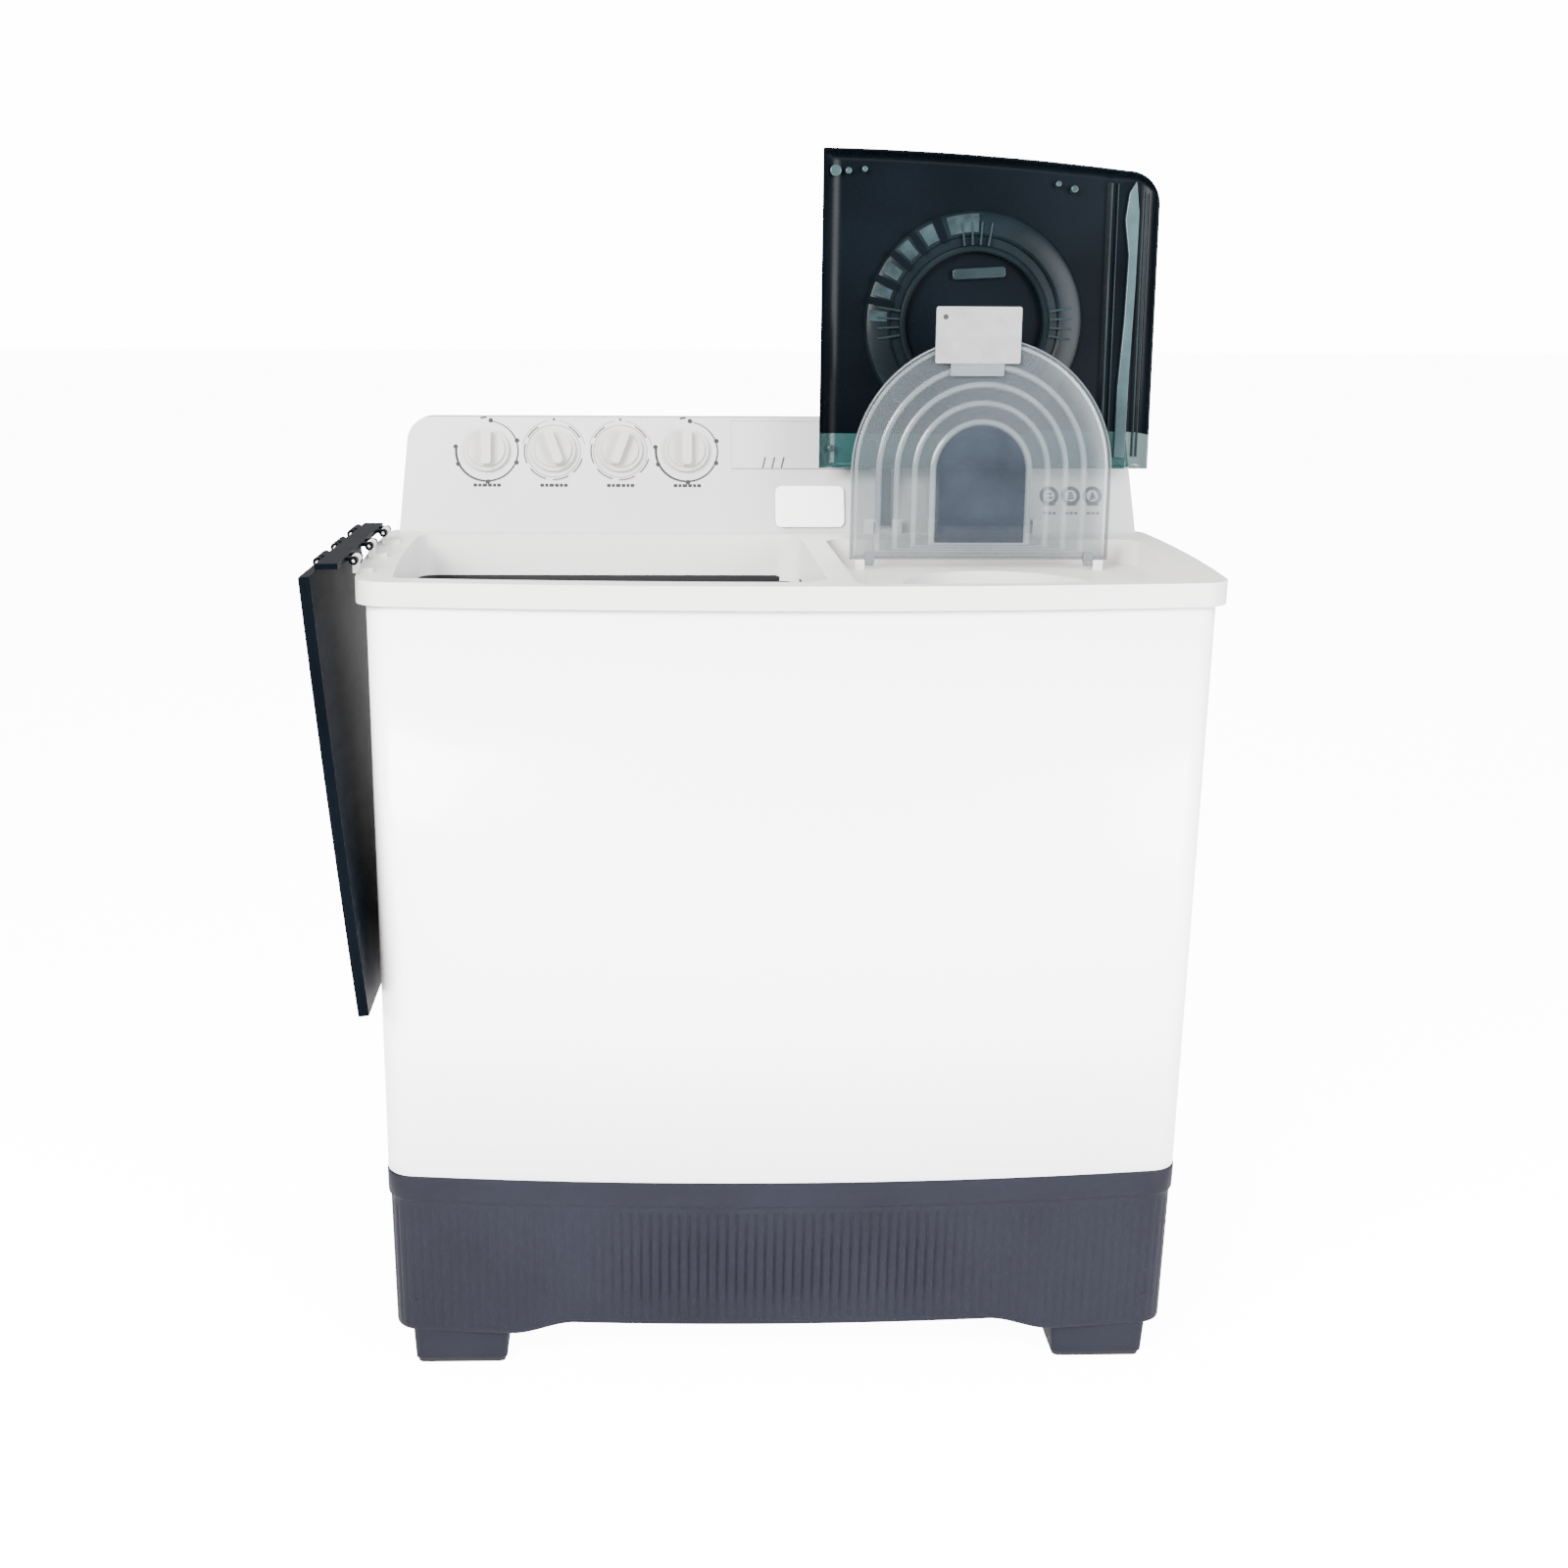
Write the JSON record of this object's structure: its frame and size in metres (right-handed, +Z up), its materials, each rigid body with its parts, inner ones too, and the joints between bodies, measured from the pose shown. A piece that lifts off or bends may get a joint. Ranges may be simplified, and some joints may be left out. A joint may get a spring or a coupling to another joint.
{
  "type": "twin tub washer",
  "caption": "Twin tub washing machine: an impeller wash tub beside a spin dryer in one cabinet, with a folding side lid, hinged spin lids and a rear dial panel.",
  "frame": {"origin": "middle of the whole machine's box, on the floor, with the wash lid hung open on the left", "axes": "+Z up, the front of the cabinet faces -Y, and +X runs from the wash tub to the spin tub"},
  "size_m": [1.0051, 0.585, 1.3973],
  "materials": {
    "cabinet_white": "satin powder coat",
    "deck_white": "moulded semi gloss",
    "panel_white": "moulded semi gloss",
    "tub_white": "moulded smooth",
    "plinth_slate": "fluted matte",
    "foot_rubber": "matte",
    "cover_grey": "matte",
    "lid_teal": "dark translucent gloss",
    "inner_clear": "frosted clear",
    "label_grey": "matte",
    "knob_white": "semi gloss",
    "bright_steel": "turned",
    "zinc_steel": "zinc plated",
    "motor_grey": "painted casting",
    "gear_alloy": "die cast",
    "belt_black": "matte",
    "seal_black": "matte",
    "filter_blue": "moulded",
    "valve_grey": "moulded",
    "pulsator_blue": "moulded",
    "timer_cream": "moulded",
    "inlet_blue": "moulded",
    "switch_black": "moulded"
  },
  "bodies": {
    "root": {"base_plinth": "plinth_slate", "foot_pads": "foot_rubber", "cabinet": "cabinet_white", "back_cover": "cover_grey", "top_deck": "deck_white", "control_panel": "panel_white", "control_back_cover": "cover_grey", "inlet_spout": "deck_white", "wash_tub": "tub_white", "wash_tub_seal": "seal_black", "spin_outer_tub": "tub_white", "gearbox": "gear_alloy", "v_belt": "belt_black", "wash_motor": "motor_grey", "motor_bracket": "zinc_steel", "spin_motor": "motor_grey", "spin_motor_springs": "zinc_steel", "brake_bracket": "zinc_steel", "brake_spring": "zinc_steel", "bellows_seal": "seal_black", "spin_bearing": "gear_alloy", "filter_holder": "tub_white", "drain_valve_body": "valve_grey", "drain_valve_spring": "zinc_steel", "drain_pipe": "valve_grey", "overflow_pipe": "valve_grey", "water_inlet_nipple": "inlet_blue", "inlet_channel": "tub_white", "wash_timer": "timer_cream", "spin_timer": "timer_cream", "wash_selector_switch": "timer_cream", "drain_selector_cam": "timer_cream", "spin_lid_pins": "bright_steel", "inner_lid_pins": "bright_steel", "safety_switch": "switch_black", "capacitor": "timer_cream", "cord_gland": "switch_black", "cover_screws": "zinc_steel"},
    "wash_leaf": {"wash_lid_leaf": "lid_teal", "wash_lid_pins": "bright_steel"},
    "wash_lid": {"wash_lid": "lid_teal"},
    "spin_lid": {"spin_lid": "lid_teal"},
    "inner_lid": {"spin_inner_lid": "inner_clear", "inner_lid_tab": "label_grey"},
    "wash_timer_knob": {"wash_timer_knob": "knob_white"},
    "wash_selector_knob": {"wash_selector_knob": "knob_white"},
    "drain_selector_knob": {"drain_selector_knob": "knob_white"},
    "spin_timer_knob": {"spin_timer_knob": "knob_white"},
    "pulsator": {"pulsator": "pulsator_blue", "pulsator_screw": "zinc_steel", "wash_shaft": "bright_steel"},
    "gearbox_pulley": {"gearbox_pulley": "gear_alloy"},
    "motor_pulley": {"motor_pulley": "gear_alloy"},
    "spin_basket": {"spin_basket": "tub_white", "balance_ring": "tub_white", "spin_shaft": "bright_steel", "brake_drum": "gear_alloy"},
    "brake_lever": {"brake_lever": "zinc_steel"},
    "drain_plug": {"drain_valve_plug": "seal_black"},
    "lint_filter": {"lint_filter": "filter_blue"}
  },
  "joints": [
    {"name": "wash_leaf_hinge", "type": "hinge", "parent": "root", "child": "wash_leaf", "pos_m": [-0.45437, -0.0105, 0.944], "axis": [0, 1, 0], "range_deg": [0, 180]},
    {"name": "wash_lid_fold", "type": "hinge", "parent": "wash_leaf", "child": "wash_lid", "pos_m": [-0.49137, -0.0105, 0.944], "axis": [0, 1, 0], "range_deg": [0, 95.6]},
    {"name": "spin_lid_hinge", "type": "hinge", "parent": "root", "child": "spin_lid", "pos_m": [0.28863, 0.1615, 0.944], "axis": [1, 0, 0], "range_deg": [0, 94]},
    {"name": "inner_lid_hinge", "type": "hinge", "parent": "root", "child": "inner_lid", "pos_m": [0.26663, 0.0495, 0.908], "axis": [1, 0, 0], "range_deg": [0, 93]},
    {"name": "wash_timer_turn", "type": "hinge", "parent": "root", "child": "wash_timer_knob", "pos_m": [-0.34137, 0.20721, 1.02828], "axis": [0, 0.9272, -0.3746], "range_deg": [0, 300]},
    {"name": "wash_selector_turn", "type": "hinge", "parent": "root", "child": "wash_selector_knob", "pos_m": [-0.25637, 0.20721, 1.02828], "axis": [0, 0.9272, -0.3746], "range_deg": [0, 120]},
    {"name": "drain_selector_turn", "type": "hinge", "parent": "root", "child": "drain_selector_knob", "pos_m": [-0.17137, 0.20721, 1.02828], "axis": [0, 0.9272, -0.3746], "range_deg": [0, 90]},
    {"name": "spin_timer_turn", "type": "hinge", "parent": "root", "child": "spin_timer_knob", "pos_m": [-0.08637, 0.20721, 1.02828], "axis": [0, 0.9272, -0.3746], "range_deg": [0, 300]},
    {"name": "pulsator_spin", "type": "hinge", "parent": "root", "child": "pulsator", "pos_m": [-0.18137, -0.0425, 0.38], "axis": [0, 0, 1], "continuous": true},
    {"name": "gearbox_input_spin", "type": "hinge", "parent": "root", "child": "gearbox_pulley", "pos_m": [-0.18137, -0.0425, 0.272], "axis": [0, 0, 1], "continuous": true},
    {"name": "wash_motor_spin", "type": "hinge", "parent": "root", "child": "motor_pulley", "pos_m": [-0.03137, 0.0475, 0.272], "axis": [0, 0, 1], "continuous": true},
    {"name": "spin_basket_spin", "type": "hinge", "parent": "root", "child": "spin_basket", "pos_m": [0.27063, -0.0765, 0.3], "axis": [0, 0, 1], "continuous": true},
    {"name": "brake_lever_pivot", "type": "hinge", "parent": "root", "child": "brake_lever", "pos_m": [0.35663, -0.1285, 0.274], "axis": [0, 0, -1], "range_deg": [0, 9.5]},
    {"name": "drain_plug_lift", "type": "slide", "parent": "root", "child": "drain_plug", "axis": [0, 0, 1], "range_m": [0, 0.016]},
    {"name": "lint_filter_pull", "type": "slide", "parent": "root", "child": "lint_filter", "axis": [0, 0, 1], "range_m": [0, 0.25]}
  ],
  "couplings": [
    {"joint": "gearbox_input_spin", "follows": "pulsator_spin", "ratio": 4},
    {"joint": "wash_motor_spin", "follows": "pulsator_spin", "ratio": 24.4},
    {"joint": "inner_lid_hinge", "follows": "spin_lid_hinge", "ratio": 0.98936},
    {"joint": "brake_lever_pivot", "follows": "spin_lid_hinge", "ratio": 0.1},
    {"joint": "drain_selector_turn", "follows": "drain_plug_lift", "rad_per_m": 98.1}
  ]
}
